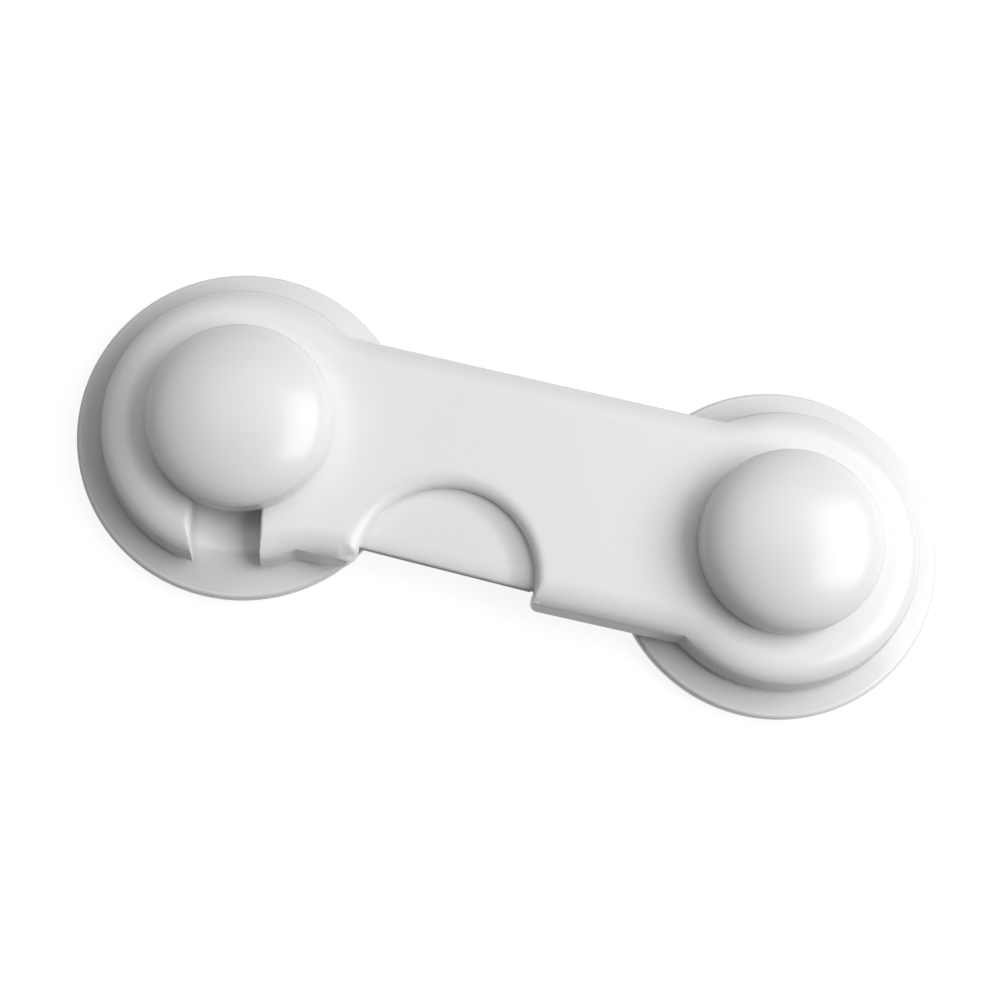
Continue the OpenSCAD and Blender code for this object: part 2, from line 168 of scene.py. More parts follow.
def add_grain(tree, shader, grain, roughness):
    """Fine grain: noise of two sizes on Object coordinates, the finer one in the bump, the
    broader one spread between two roughnesses."""
    broader, noise_low, noise_high, relief_share = 14, 0.3, 0.7, 0.35
    scale, bump = grain
    place = tree.nodes.new("ShaderNodeTexCoord")
    fine = tree.nodes.new("ShaderNodeTexNoise")
    fine.inputs["Scale"].default_value = scale
    fine.inputs["Detail"].default_value = 4
    broad = tree.nodes.new("ShaderNodeTexNoise")
    broad.inputs["Scale"].default_value = scale / broader
    broad.inputs["Detail"].default_value = 3
    for noise in (fine, broad):
        tree.links.new(place.outputs["Object"], noise.inputs["Vector"])
    spread = tree.nodes.new("ShaderNodeMapRange")
    spread.inputs["From Min"].default_value = noise_low
    spread.inputs["From Max"].default_value = noise_high
    spread.inputs["To Min"].default_value, spread.inputs["To Max"].default_value = roughness
    tree.links.new(broad.outputs["Fac"], spread.inputs["Value"])
    tree.links.new(spread.outputs["Result"], shader.inputs["Roughness"])
    relief = tree.nodes.new("ShaderNodeBump")
    relief.inputs["Strength"].default_value = relief_share
    relief.inputs["Distance"].default_value = bump
    tree.links.new(fine.outputs["Fac"], relief.inputs["Height"])
    tree.links.new(relief.outputs["Normal"], shader.inputs["Normal"])


def moulded_plastic(name, base, roughness):
    """White moulded plastic: a little light enters it, and its skin has a fine grain."""
    material, tree, shader = new_material(name)
    shader.inputs["Base Color"].default_value = (*base, 1)
    shader.inputs["IOR"].default_value = 1.46
    shader.inputs["Subsurface Weight"].default_value = 0.25
    shader.inputs["Subsurface Radius"].default_value = (1, 1, 1)
    shader.inputs["Subsurface Scale"].default_value = 1.2 * MM
    add_grain(tree, shader, PLASTIC_GRAIN, roughness)
    return material


def foam_tape(name, base, roughness):
    """Closed-cell foam: rough, with cells that show as relief."""
    material, tree, shader = new_material(name)
    shader.inputs["Base Color"].default_value = (*base, 1)
    add_grain(tree, shader, FOAM_GRAIN, roughness)
    return material


def plated_steel(name, base, roughness):
    """Bright or plated steel, duller in places."""
    material, tree, shader = new_material(name)
    shader.inputs["Base Color"].default_value = (*base, 1)
    shader.inputs["Metallic"].default_value = 1
    add_grain(tree, shader, STEEL_GRAIN, roughness)
    return material


def finish_node(node, material):
    """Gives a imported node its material."""
    piece = frame["nodes"][node]
    piece.data.materials.clear()
    piece.data.materials.append(material)


def link_piece(name, mesh, material, nodes, sharp_deg):
    """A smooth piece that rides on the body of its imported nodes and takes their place."""
    mesh.polygons.foreach_set("use_smooth", np.ones(len(mesh.polygons), dtype=bool))
    mesh.set_sharp_from_angle(angle=math.radians(sharp_deg))
    mesh.materials.clear()
    mesh.materials.append(material)
    piece = bpy.data.objects.new(name, mesh)
    bpy.context.scene.collection.objects.link(piece)
    bodies = frame["record"]["behaviour"]["bodies"]
    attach(piece, next(body for body, members in bodies.items() if nodes[0] in members))
    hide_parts(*nodes)
    return piece


def add_piece(name, points, faces, material, nodes, sharp_deg):
    """A piece from an array of points and arrays of faces.

    Doubled points are merged, unused ones dropped, and the faces turned outwards.
    """
    mesh = bpy.data.meshes.new(name)
    mesh.from_pydata(points.tolist(), [], [face for block in faces for face in block.tolist()])
    shape = bmesh.new()
    shape.from_mesh(mesh)
    bmesh.ops.remove_doubles(shape, verts=shape.verts, dist=FINE_MERGE)
    bmesh.ops.dissolve_degenerate(shape, edges=shape.edges, dist=FINE_MERGE)
    loose = [point for point in shape.verts if not point.link_faces]
    bmesh.ops.delete(shape, geom=loose, context="VERTS")
    bmesh.ops.recalc_face_normals(shape, faces=shape.faces)
    shape.to_mesh(mesh)
    shape.free()
    return link_piece(name, mesh, material, nodes, sharp_deg)


def smooth_copy(node, material, sharp_deg):
    """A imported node's own shape, merged and shaded round, large faces leading the normals."""
    mesh = bpy.data.meshes.new(node + "_smooth")
    shape = bmesh.new()
    shape.from_mesh(frame["nodes"][node].data)
    bmesh.ops.remove_doubles(shape, verts=shape.verts, dist=MERGE)
    shape.to_mesh(mesh)
    shape.free()
    normals_by_area(link_piece(node + "_smooth", mesh, material, (node,), sharp_deg))


def ring_points(x, y, radius, angle):
    """Points on a circle: (x + r cos(a), y + r sin(a))."""
    return np.column_stack([x + radius * np.cos(angle), y + radius * np.sin(angle)])


def rounded(corners, steps=7):
    """An outline whose inner corners (x, y, radius) are replaced by arcs; its two ends stay.

    At each corner the arc's centre lies on the bisector at radius / sin(half the angle), and
    the arc runs between the two points where it touches the sides.
    """
    corners = np.asarray(corners, float)
    here = corners[1:-1, :2]
    back = corners[:-2, :2] - here
    ahead = corners[2:, :2] - here
    back /= np.linalg.norm(back, axis=1)[:, None]
    ahead /= np.linalg.norm(ahead, axis=1)[:, None]
    half = 0.5 * np.arccos(np.clip((back * ahead).sum(1), -1, 1))
    bisector = back + ahead
    bisector /= np.linalg.norm(bisector, axis=1)[:, None]
    centre = here + bisector * (corners[1:-1, 2] / np.sin(half))[:, None]
    reach = corners[1:-1, 2] / np.tan(half)
    start = here + back * reach[:, None] - centre
    turn = np.sign(back[:, 0] * ahead[:, 1] - back[:, 1] * ahead[:, 0]) * (np.pi - 2 * half)
    angle = -turn[:, None] * np.linspace(0, 1, steps)
    cos, sin = np.cos(angle), np.sin(angle)
    x = centre[:, :1] + start[:, :1] * cos - start[:, 1:] * sin
    y = centre[:, 1:] + start[:, :1] * sin + start[:, 1:] * cos
    arcs = np.stack([x, y], axis=2).reshape(-1, 2)
    return np.concatenate([corners[:1, :2], arcs, corners[-1:, :2]])


def revolve(profile, axis_x, around=192):
    """A profile (radius, height) whose two ends lie on the axis, carried round it.

    Point (i, k) is (axis + r_i cos(a_k), r_i sin(a_k), z_i), with a_k spread evenly over a turn.
    """
    radius, height = profile[:, 0], profile[:, 1]
    angle = np.arange(around) * TURN / around
    x = axis_x + radius[:, None] * np.cos(angle)
    y = radius[:, None] * np.sin(angle)
    z = np.broadcast_to(height[:, None], x.shape)
    points = np.stack([x, y, z], axis=2).reshape(-1, 3)
    i, k = np.meshgrid(np.arange(len(profile) - 1), np.arange(around), indexing="ij")
    ahead = (k + 1) % around
    here, above = i * around, (i + 1) * around
    quads = np.stack([here + k, here + ahead, above + ahead, above + k], axis=2)
    return points, quads.reshape(-1, 4)


def quarter_round(depth, reach, drop):
    """How far a quarter ellipse lies under the flat.

    It is drop (1 - sqrt(1 - u^2)), with u = 1 - depth/reach.
    """
    share = np.clip(1 - depth / reach, 0, 1)
    return drop * (1 - np.sqrt(1 - share * share))


def ease(share):
    """3 s^2 - 2 s^3 between 0 and 1."""
    share = np.clip(share, 0, 1)
    return share * share * (3 - 2 * share)


def normals_by_area(piece):
    """Large faces lead a piece's shading, and its sharp edges stay."""
    normals = piece.modifiers.new("normals", "WEIGHTED_NORMAL")
    normals.mode = "FACE_AREA"
    normals.keep_sharp = True


def sheet_within(flat, sides):
    """Triangles between flat points that lie within closed loops of sides.

    Gives the points, the triangles, and for each given point its number among them. The
    points are handed over in mm, because the tolerance suits that size.
    """
    fill_loops, tolerance = 1, 1e-5
    found, _, sheet, origin, _, _ = delaunay_2d_cdt(
        [Vector(pair) for pair in (flat / MM).tolist()], sides.tolist(), [], fill_loops, tolerance)
    place = np.full(len(flat), -1)
    place[np.array([given[0] if given else 0 for given in origin])] = np.arange(len(origin))
    return np.array([tuple(pair) for pair in found]) * MM, np.array(sheet), place


def quads_between(here, ahead, across_ahead, across):
    """Four-sided faces between two rows of points, from the numbers of their corners."""
    return np.column_stack([here, ahead, across_ahead, across])


def mesh_points(mesh):
    """The points of a mesh as rows of x, y and z."""
    points = np.empty(len(mesh.vertices) * 3)
    mesh.vertices.foreach_get("co", points)
    return points.reshape(-1, 3)


class ArmPlan:
    """Plan of the arm as distances: from its outline, from the slot and from the half-moon."""

    # Rows of points along the rounded edges, by their distance from the edge
    outline_rows = np.array([0.34, 0.46, 0.62, 0.85, 1.15, 1.55, 2.0, 2.5, 3.0, 3.45]) * MM
    moon_rows = np.array([0.05, 0.1, 0.18, 0.3, 0.45, 0.65, 0.9, 1.2, 1.55, 1.95, 2.3]) * MM
    slot_rows = np.array([0.05, 0.11, 0.2, 0.32, 0.48, 0.68, 0.92]) * MM
    # Steps between the points of a row, along lines and round arcs
    line_step, side_step = 0.4 * MM, 0.3 * MM
    lobe_turn, moon_turn, seat_turn, slot_turn = 0.022, 0.03, 0.08, 0.0045
    blend_steps, corner_steps = 16, 12
    # How far the rows beside the half-moon and the slot run, and the least radius of an arc
    side_end, slot_end, least_radius = 4 * MM, 0.32, 0.02 * MM
    # The lattice on the flat, and how far it keeps off the half-moon and the slot
    lattice_step, lattice_ratio = 0.55 * MM, 0.866
    moon_clear, slot_clear = 2.6 * MM, 1.2 * MM
    # The rim's longest edge; what a point or an edge keeps off the rim; and off the seat
    rim_step, margin, rim_gap, seat_margin = 0.35 * MM, 0.04 * MM, 0.1 * MM, 0.2 * MM
    # Points nearer to an edge than this lie on it
    snap = 0.045 * MM
    # The half-moon's rounding is wider on the catch side by this share, narrower on the other
    moon_lean = 0.3
    # In the rounded corners the fall is squeezed below this share of the way to the seam
    knee_share = 0.75

    def __init__(self):
        sizes = lock()[0]
        low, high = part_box("arm_shell")
        self.top = high.z
        self.seam = sizes.arm_seam
        self.lobe = (high.y - low.y) / 2
        self.catch, self.pivot = post_axis("catch"), post_axis("pivot")
        self.waist = sizes.waist_width / 2
        self.blend = sizes.waist_blend
        self.draft = sizes.arm_draft
        self.edge, self.edge_drop = sizes.arm_edge, sizes.arm_edge_drop
        self.slot_half = sizes.slot_width / 2
        self.soft, self.slot_soft = sizes.soft_edge, sizes.slot_soft_edge
        self.moon_edge = sizes.moon_edge
        self.seat = sizes.washer_seat
        self.moon, self.moon_x = sizes.moon_radius, -sizes.moon_offset
        self.moon_y = sizes.moon_inset - self.waist
        self.moon_drop = sizes.moon_edge_drop
        self.corners = ((-1, sizes.moon_corner_left), (1, sizes.moon_corner_right))
        self.blend_y = self.waist + self.blend
        self.blend_x = self.pivot - math.sqrt((self.lobe + self.blend) ** 2 - self.blend_y ** 2)
        self.blend_turn = math.atan2(self.pivot - self.blend_x, self.blend_y)

    def depth(self, x, y):
        """Distance inwards from the foot of the outline.

        It is waist - |y| between the blends, the distance from a blend's centre less its
        radius beside them, and lobe - distance from the post at the ends.
        """
        x, y = np.abs(x), np.abs(y)
        from_blend = np.hypot(x - self.blend_x, y - self.blend_y) - self.blend
        from_post = self.lobe - np.hypot(x - self.pivot, y)
        beside = np.arctan2(x - self.blend_x, self.blend_y - y)
        at_end = np.where(beside < self.blend_turn, from_blend, from_post)
        return np.where(x <= self.blend_x, self.waist - y, at_end)

    def slot_gap(self, x, y):
        """Distance from the slot's wall: a ring about the pivot post, closed by a half circle."""
        far = np.hypot(x - self.pivot, y)
        pitch = self.pivot - self.catch
        ring = np.abs(far - pitch) - self.slot_half
        seat = np.hypot(x - self.catch, y) - self.slot_half
        return np.where(y < 0, ring, seat)

    def moon_gap(self, x, y):
        """Distance from the half-moon: a circle, and below its centre two upright lines."""
        from_centre = np.hypot(x - self.moon_x, y - self.moon_y)
        return np.where(y > self.moon_y, from_centre, np.abs(x - self.moon_x)) - self.moon

    def corner_place(self, x, y, sign, radius):
        """Place in the square of a rounded corner: inwards from its far sides, and if it is in."""
        beside = sign * (x - self.moon_x)
        along = radius - (beside - self.moon)
        up = radius - (self.waist + y)
        return along, up, (along > 0) & (up > 0) & (y < 0) & (beside > 0)

    def height(self, x, y):
        """Top of the arm: its flat, less the fourth root of the edges' falls to the fourth power.

        In the square of a rounded corner the distance from its arc takes over, by the angle, and
        what falls under three quarters of the way to the seam is squeezed into the last quarter.
        """
        depth, moon, slot = self.depth(x, y), self.moon_gap(x, y), self.slot_gap(x, y)
        moon = np.where(moon < self.snap, 0, moon)
        slot = np.where(slot < self.snap, 0, slot)
        side = (x - self.moon_x) / self.moon
        moon_reach = self.moon_edge * (1 - self.moon_lean * np.clip(side, -1, 1))
        body = quarter_round(depth - self.draft, self.edge, self.edge_drop)
        moon_fall = quarter_round(moon, moon_reach, self.moon_drop)
        corner = np.zeros(x.shape)
        for sign, radius in self.corners:
            along, up, inside = self.corner_place(x, y, sign, radius)
            arc = radius - np.hypot(along, up)
            arc = np.where(arc < self.snap, 0, arc)
            share = ease(np.arctan2(up, along) / (np.pi / 2))
            round_body = quarter_round(arc - self.draft, self.edge, self.edge_drop)
            round_moon = quarter_round(arc, moon_reach, self.moon_drop)
            body = np.where(inside, (1 - share) * body + share * round_body, body)
            moon_fall = np.where(inside, (1 - share) * round_moon + share * moon_fall, moon_fall)
            corner = np.where(inside, np.sqrt(4 * share * (1 - share)), corner)
        left = np.clip((self.catch - x) / self.slot_half * 0.5 + 0.5, 0, 1)
        slot_reach = self.soft + left * (self.slot_soft - self.soft)
        slot_fall = quarter_round(slot, slot_reach, slot_reach)
        fall = (body ** 4 + moon_fall ** 4 + slot_fall ** 4) ** 0.25
        knee = self.knee_share * (self.top - self.seam)
        squeeze = (self.top - self.seam - knee) / (self.edge_drop - knee)
        fall = fall - corner * np.maximum(fall - knee, 0) * (1 - squeeze)
        return np.maximum(self.top - fall, self.seam)

    def rows(self):
        """Points in rows along every rounded edge, close together where the surface is steep."""
        parts = []
        round_lobe = np.arange(0, TURN, self.lobe_turn)
        line = np.arange(-self.blend_x, self.blend_x, self.line_step)
        bend = np.linspace(0, self.blend_turn, self.blend_steps)
        for depth in self.draft + self.outline_rows:
            for post in (self.catch, self.pivot):
                parts.append(ring_points(post, 0, self.lobe - depth, round_lobe))
            curve_x = self.blend_x + (self.blend + depth) * np.sin(bend)
            curve_y = self.blend_y - (self.blend + depth) * np.cos(bend)
            for sign in (-1, 1):
                straight = np.full(line.shape, sign * (self.waist - depth))
                parts.append(np.column_stack([line, straight]))
                for mirror in (-1, 1):
                    parts.append(np.column_stack([mirror * curve_x, sign * curve_y]))
        round_moon = np.arange(0, np.pi, self.moon_turn)
        down = np.arange(0, self.side_end, self.side_step)
        bend = np.linspace(0, np.pi / 2, self.corner_steps)
        for gap in self.moon_rows:
            radius = self.moon + gap
            parts.append(ring_points(self.moon_x, self.moon_y, radius, round_moon))
            for sign, corner in self.corners:
                upright = np.full(down.shape, self.moon_x + sign * radius)
                parts.append(np.column_stack([upright, self.moon_y - down]))
                small = max(corner - gap, self.least_radius)
                parts.append(np.column_stack([
                    self.moon_x + sign * (self.moon + corner) - sign * small * np.cos(bend),
                    corner - self.waist - small * np.sin(bend)]))
        down_slot = np.arange(0, self.slot_end, self.slot_turn)
        round_seat = np.arange(0, np.pi, self.seat_turn)
        for gap in self.slot_rows:
            for reach in (-self.slot_half - gap, self.slot_half + gap):
                radius = self.pivot - self.catch + reach
                parts.append(ring_points(self.pivot, 0, -radius, down_slot))
            parts.append(ring_points(self.catch, 0, self.slot_half + gap, round_seat))
        return np.concatenate(parts)

    def grid(self):
        """A triangular lattice over the flat part."""
        step = self.lattice_step
        across = np.arange(self.catch - self.lobe, self.pivot + self.lobe, step)
        up = np.arange(-self.lobe, self.lobe, step * self.lattice_ratio)
        x, y = np.meshgrid(across, up, indexing="ij")
        x = x + np.where(np.arange(len(up)) % 2, step / 2, 0)
        clear = self.depth(x, y) > self.edge + self.draft
        clear &= (self.moon_gap(x, y) > self.moon_clear) & (self.slot_gap(x, y) > self.slot_clear)
        return np.column_stack([x[clear], y[clear]])

    def inside(self, points):
        """Whether points of the flat lie clear of its outline by the margin."""
        x, y = points.T
        level = 1 - (self.top - self.seam) / self.edge_drop
        seam_depth = self.draft + self.edge * (1 - math.sqrt(1 - level ** 2))
        keep = (self.slot_gap(x, y) > self.margin) & (self.moon_gap(x, y) > self.margin)
        keep &= self.depth(x, y) > seam_depth + self.margin
        for sign, radius in self.corners:
            along, up, in_square = self.corner_place(x, y, sign, radius)
            keep &= ~(in_square & (np.hypot(along, up) > radius - self.margin))
        return keep


def cut_under(node, level, longest):
    """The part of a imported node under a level, its open rim divided into short edges."""
    halvings = 9
    shape = bmesh.new()
    shape.from_mesh(frame["nodes"][node].data)
    bmesh.ops.remove_doubles(shape, verts=shape.verts, dist=MERGE)
    everything = [*shape.verts, *shape.edges, *shape.faces]
    bmesh.ops.bisect_plane(
        shape, geom=everything, dist=FINE_MERGE / 2, plane_co=(0, 0, level), plane_no=(0, 0, 1),
        clear_outer=True)
    for _ in range(halvings):
        rim = [edge for edge in shape.edges if edge.is_boundary]
        long_edges = [edge for edge in rim if edge.calc_length() > longest]
        if not long_edges:
            break
        bmesh.ops.subdivide_edges(shape, edges=long_edges, cuts=1)
    bmesh.ops.triangulate(shape, faces=shape.faces)
    mesh = bpy.data.meshes.new("under")
    shape.to_mesh(mesh)
    shape.free()
    points = mesh_points(mesh)
    corners = np.empty(len(mesh.loops), dtype=np.int32)
    mesh.loops.foreach_get("vertex_index", corners)
    bpy.data.meshes.remove(mesh)
    return points, corners.reshape(-1, 3)


def open_edges(triangles):
    """Pairs of points that only one triangle uses."""
    pairs = np.concatenate([triangles[:, [0, 1]], triangles[:, [1, 2]], triangles[:, [2, 0]]])
    pairs = np.sort(pairs, axis=1)
    pairs, count = np.unique(pairs, axis=0, return_counts=True)
    return pairs[count == 1]


def within(at, starts, ends):
    """Whether points lie in closed loops: a ray in +X crosses the sides an odd number of times."""
    x, y = at[:, :1], at[:, 1:]
    spans = (starts[:, 1] > y) != (ends[:, 1] > y)
    rise = np.where(starts[:, 1] == ends[:, 1], 1, ends[:, 1] - starts[:, 1])
    crossing = starts[:, 0] + (y - starts[:, 1]) * (ends[:, 0] - starts[:, 0]) / rise
    return (spans & (x < crossing)).sum(axis=1) % 2 == 1


def side_distance(at, starts, ends):
    """Distance of each point from the nearest of some sides."""
    tiny = 1e-18
    along = ends - starts
    from_start = at[:, None] - starts
    squares = np.maximum((along * along).sum(1), tiny)
    share = np.clip((from_start * along).sum(2) / squares, 0, 1)
    return np.linalg.norm(from_start - share[:, :, None] * along, axis=2).min(axis=1)


class PlatePlan:
    """Top of the thumb latch: a plate hollow within the half-moon, with a round front edge."""

    # Rows of points along the front edge, by their distance from it
    front_rows = np.array([0.06, 0.14, 0.25, 0.4, 0.58, 0.8, 1.05, 1.35, 1.7, 2.1]) * MM
    front_steps, hollow_steps, hollow_rows = 64, 90, 12
    lattice_x, lattice_y, tongue_step = 0.8 * MM, 0.7 * MM, 0.5 * MM
    # The rim's longest edge, and what a point keeps off the rim
    rim_step, margin = 0.5 * MM, 0.04 * MM
    # What counts as level with the lip, and as under the top
    near, under_top = 0.05 * MM, 0.3 * MM
    # The step down to the tongue: where it begins before the tongue's end, and its width
    step_start, step_width = 0.01 * MM, 0.04 * MM

    def __init__(self):
        sizes = lock()[0]
        self.arm = ArmPlan()
        self.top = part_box("thumb_latch")[1].z
        self.seam = sizes.plate_seam
        self.hollow, self.ramp, self.rise = sizes.plate_hollow, sizes.plate_ramp, sizes.plate_rise
        self.edge, self.edge_drop = sizes.plate_edge, sizes.plate_edge_drop
        points = mesh_points(frame["nodes"]["thumb_latch"].data)
        level = points[:, 2]
        lip = points[level < level.min() + self.near]
        self.lip_x = np.array([lip[:, 0].min(), lip[:, 0].max()])
        self.lip_y = np.array([lip[np.abs(lip[:, 0] - x) < self.near, 1].min() for x in self.lip_x])
        tongue = points[(level > self.seam) & (level < self.top - self.under_top)]
        self.tongue_top, self.tongue_end = tongue[:, 2].max(), tongue[:, 0].max()

    def height(self, x, y):
        """The wings' level, less the hollow in the half-moon, less the front rounding.

        The hollow's side begins inside the half-moon by rise (1 + side) / 2, with side the
        place across it from -1 at the catch to 1 at the pivot.
        """
        gap = self.arm.moon_gap(x, y)
        side = np.clip((x - self.arm.moon_x) / self.arm.moon, -1, 1)
        start = self.rise * (0.5 + 0.5 * side)
        hollow = self.hollow * ease(1 - (gap + start) / (self.ramp + start))
        front = quarter_round(y - np.interp(x, self.lip_x, self.lip_y), self.edge, self.edge_drop)
        whole = np.maximum(self.top - hollow - front, self.seam)
        return np.where(x < self.tongue_end - self.step_start, self.tongue_top, whole)

    def spots(self):
        """Points in rows along the front edge and round the hollow, and a lattice between them."""
        line = np.linspace(*self.lip_x, self.front_steps)
        lip_y = np.interp(line, self.lip_x, self.lip_y)
        parts = [np.column_stack([line, lip_y + depth]) for depth in self.front_rows]
        turn = np.linspace(0, np.pi, self.hollow_steps)
        for gap in np.linspace(-self.rise, self.ramp, self.hollow_rows):
            parts.append(ring_points(self.arm.moon_x, self.arm.moon_y, self.arm.moon + gap, turn))
        low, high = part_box("thumb_latch")
        across = np.arange(low.x, high.x, self.lattice_x)
        x, y = np.meshgrid(across, np.arange(low.y, high.y, self.lattice_y), indexing="ij")
        parts.append(np.column_stack([x.ravel(), y.ravel()]))
        step_y = np.arange(low.y, high.y, self.tongue_step)
        for x in (self.tongue_end, self.tongue_end - self.step_width):
            parts.append(np.column_stack([np.full(step_y.shape, x), step_y]))
        return np.concatenate(parts)


class LOCK_OT_latch(bpy.types.Operator):
    """Make the thumb latch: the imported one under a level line, and a hollow thumb plate over it"""

    bl_idname = "lock.latch"
    bl_label = "Thumb latch"

    def execute(self, context):
        plan = PlatePlan()
        points, triangles = cut_under("thumb_latch", plan.seam, plan.rim_step)
        rim = open_edges(triangles)
        starts, ends = points[rim[:, 0], :2], points[rim[:, 1], :2]
        used, local = np.unique(rim, return_inverse=True)
        local = local.reshape(rim.shape)
        extra = plan.spots()
        extra = extra[within(extra, starts, ends)]
        extra = extra[side_distance(extra, starts, ends) > plan.margin]
        found, sheet, place = sheet_within(np.concatenate([points[used, :2], extra]), local)
        sheet = sheet[within(found[sheet].mean(axis=1), starts, ends)]
        base = len(points)
        top_a, top_b = place[local].T + base
        walls = quads_between(rim[:, 0], rim[:, 1], top_b, top_a)
        top = np.column_stack([found, plan.height(*found.T)])
        add_piece("latch_plate", np.concatenate([points, top]), (triangles, sheet + base, walls),
                  bpy.data.materials["latch_plastic"], ("thumb_latch",), SHARP_TOP)
        return {"FINISHED"}


class LOCK_OT_arm(bpy.types.Operator):
    """Make the arm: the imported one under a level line, and a smoothly rounded top over it"""

    bl_idname = "lock.arm"
    bl_label = "Arm"

    def execute(self, context):
        plan = ArmPlan()
        points, triangles = cut_under("arm_shell", plan.seam, plan.rim_step)
        edges = open_edges(triangles)
        middle = points[edges].mean(axis=1)[:, :2].T
        at_bore = np.hypot(middle[0] - plan.pivot, middle[1]) < plan.seat
        closed_in = plan.depth(*middle) > plan.edge
        for gap in (plan.slot_gap(*middle), plan.moon_gap(*middle)):
            closed_in &= gap > plan.rim_gap
        rim, pilots = edges[~closed_in & ~at_bore], edges[closed_in & ~at_bore]

        # The flat and its rounded edges: one sheet over the rim, with the washer's seat left open
        used, local = np.unique(rim, return_inverse=True)
        local = local.reshape(rim.shape)
        bore = np.unique(edges[at_bore])
        turn = np.arctan2(points[bore, 1], points[bore, 0] - plan.pivot)
        order = np.argsort(turn)
        bore, turn = bore[order], turn[order]
        seat = ring_points(plan.pivot, 0, plan.seat, turn)
        extra = np.concatenate([plan.rows(), plan.grid()])
        extra = extra[plan.inside(extra)]
        from_pivot = np.hypot(extra[:, 0] - plan.pivot, extra[:, 1])
        extra = extra[from_pivot > plan.seat + plan.seat_margin]
        seat_at = len(used) + np.arange(len(seat))
        found, sheet, place = sheet_within(
            np.concatenate([points[used, :2], seat, extra]),
            np.concatenate([local, np.column_stack([seat_at, np.roll(seat_at, -1)])]))
        sheet = sheet[~within(found[sheet].mean(axis=1), seat, np.roll(seat, -1, axis=0))]
        base = len(points)
        blocks = [points, np.column_stack([found, plan.height(*found.T)])]

        # The short upright wall between the rim and the sheet
        top_a, top_b = place[local].T + base
        faces = [triangles, sheet + base, quads_between(rim[:, 0], rim[:, 1], top_b, top_a)]

        # The washer's seat: down from the flat, across, and into the bore
        base += len(found)
        count = len(turn)
        floor_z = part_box("pivot_washer")[0].z - lock()[0].washer_play
        bore_ring = points[bore, :2]
        for ring, level in ((seat, plan.top), (seat, floor_z), (bore_ring, floor_z)):
            blocks.append(np.column_stack([ring, np.full(count, level)]))
        here = np.arange(count)
        ahead = np.roll(here, -1)
        for upper, lower in ((base, base + count), (base + count, base + 2 * count)):
            faces.append(quads_between(upper + here, upper + ahead, lower + ahead, lower + here))
        last = base + 2 * count
        faces.append(quads_between(last + here, last + ahead, bore[ahead], bore[here]))

        # Flat lids on the screws' pilot holes
        base += 3 * count
        used, local = np.unique(pilots, return_inverse=True)
        lids, caps, _ = sheet_within(points[used, :2], local.reshape(pilots.shape))
        blocks.append(np.column_stack([lids, np.full(len(lids), plan.seam)]))
        faces.append(caps + base)
        normals_by_area(add_piece(
            "arm_moulding", np.concatenate(blocks), faces, bpy.data.materials["white_moulding"],
            ("arm_shell",), SHARP_TOP))
        return {"FINISHED"}


class LOCK_OT_caps(bpy.types.Operator):
    """Make the two domed caps"""

    bl_idname = "lock.caps"
    bl_label = "Caps"

    # Room over the screw and the spigot, and the steps along a dome's curve
    play, dome_steps = 0.1 * MM, 40
    # Radii inside a cap: its bores, the foot of its boss, under its roof, and at its two lips,
    # the outer one as a share of the soft edge; and where the rim runs into the dome
    crisp, boss_foot, roof_edge, inner_lip = 0.1 * MM, 0.6 * MM, 0.8 * MM, 0.25 * MM
    outer_lip, seamless = 1.2, 0.01 * MM

    def execute(self, context):
        sizes = lock()[0]
        shank, spigot, boss = sizes.shank_width / 2, sizes.spigot_bore / 2, sizes.cap_boss / 2
        for side in POSTS:
            low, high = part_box(side + "_cap")
            outer = (high.x - low.x) / 2
            inner = outer - sizes.cap_wall
            rim = low.z + sizes.cap_rim
            screw_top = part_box(side + "_screw")[1].z + self.play
            spigot_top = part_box(side + "_base")[1].z + self.play
            inside = rounded([
                (0, screw_top, 0), (shank, screw_top, self.crisp), (shank, spigot_top, self.crisp),
                (spigot, spigot_top, self.crisp), (spigot, low.z, self.crisp),
                (boss, low.z, self.crisp), (boss, rim, self.boss_foot),
                (inner, rim, self.roof_edge), (inner, low.z, self.inner_lip),
                (outer, low.z, self.outer_lip * sizes.soft_edge), (outer, rim, self.seamless)])
            angle = np.linspace(0, np.pi / 2, self.dome_steps)[1:]
            dome = np.column_stack([outer * np.cos(angle), rim + (high.z - rim) * np.sin(angle)])
            points, faces = revolve(np.concatenate([inside, dome]), post_axis(side))
            add_piece(side + "_dome", points, [faces], bpy.data.materials["white_moulding"],
                      (side + "_cap",), SHARP_CAP)
        return {"FINISHED"}


class LOCK_OT_bases(bpy.types.Operator):
    """Shade the bases and the foam pads round"""

    bl_idname = "lock.bases"
    bl_label = "Bases"

    def execute(self, context):
        for side in POSTS:
            smooth_copy(side + "_base", bpy.data.materials["white_moulding"], SHARP_BASE)
            smooth_copy(side + "_pad", bpy.data.materials["foam_tape"], SHARP_BASE)
        return {"FINISHED"}


class LOCK_OT_finishes(bpy.types.Operator):
    """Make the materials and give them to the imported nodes"""

    bl_idname = "lock.finishes"
    bl_label = "Finishes"

    def execute(self, context):
        colours = lock()[1]
        by_slot = {
            "white_moulding": moulded_plastic(
                "white_moulding", colours.shell, roughness=(0.5, 0.6)),
            "latch_plastic": moulded_plastic(
                "latch_plastic", colours.latch, roughness=(0.52, 0.62)),
            "foam_tape": foam_tape("foam_tape", colours.foam, roughness=(0.8, 0.95)),
            "zinc_steel": plated_steel("zinc_steel", colours.steel, roughness=(0.28, 0.4)),
            "spring_steel": plated_steel("spring_steel", colours.steel, roughness=(0.18, 0.28)),
        }
        for row in frame["record"]["subparts"]:
            finish_node(row["node"], by_slot[row["material_slot"]])
        return {"FINISHED"}


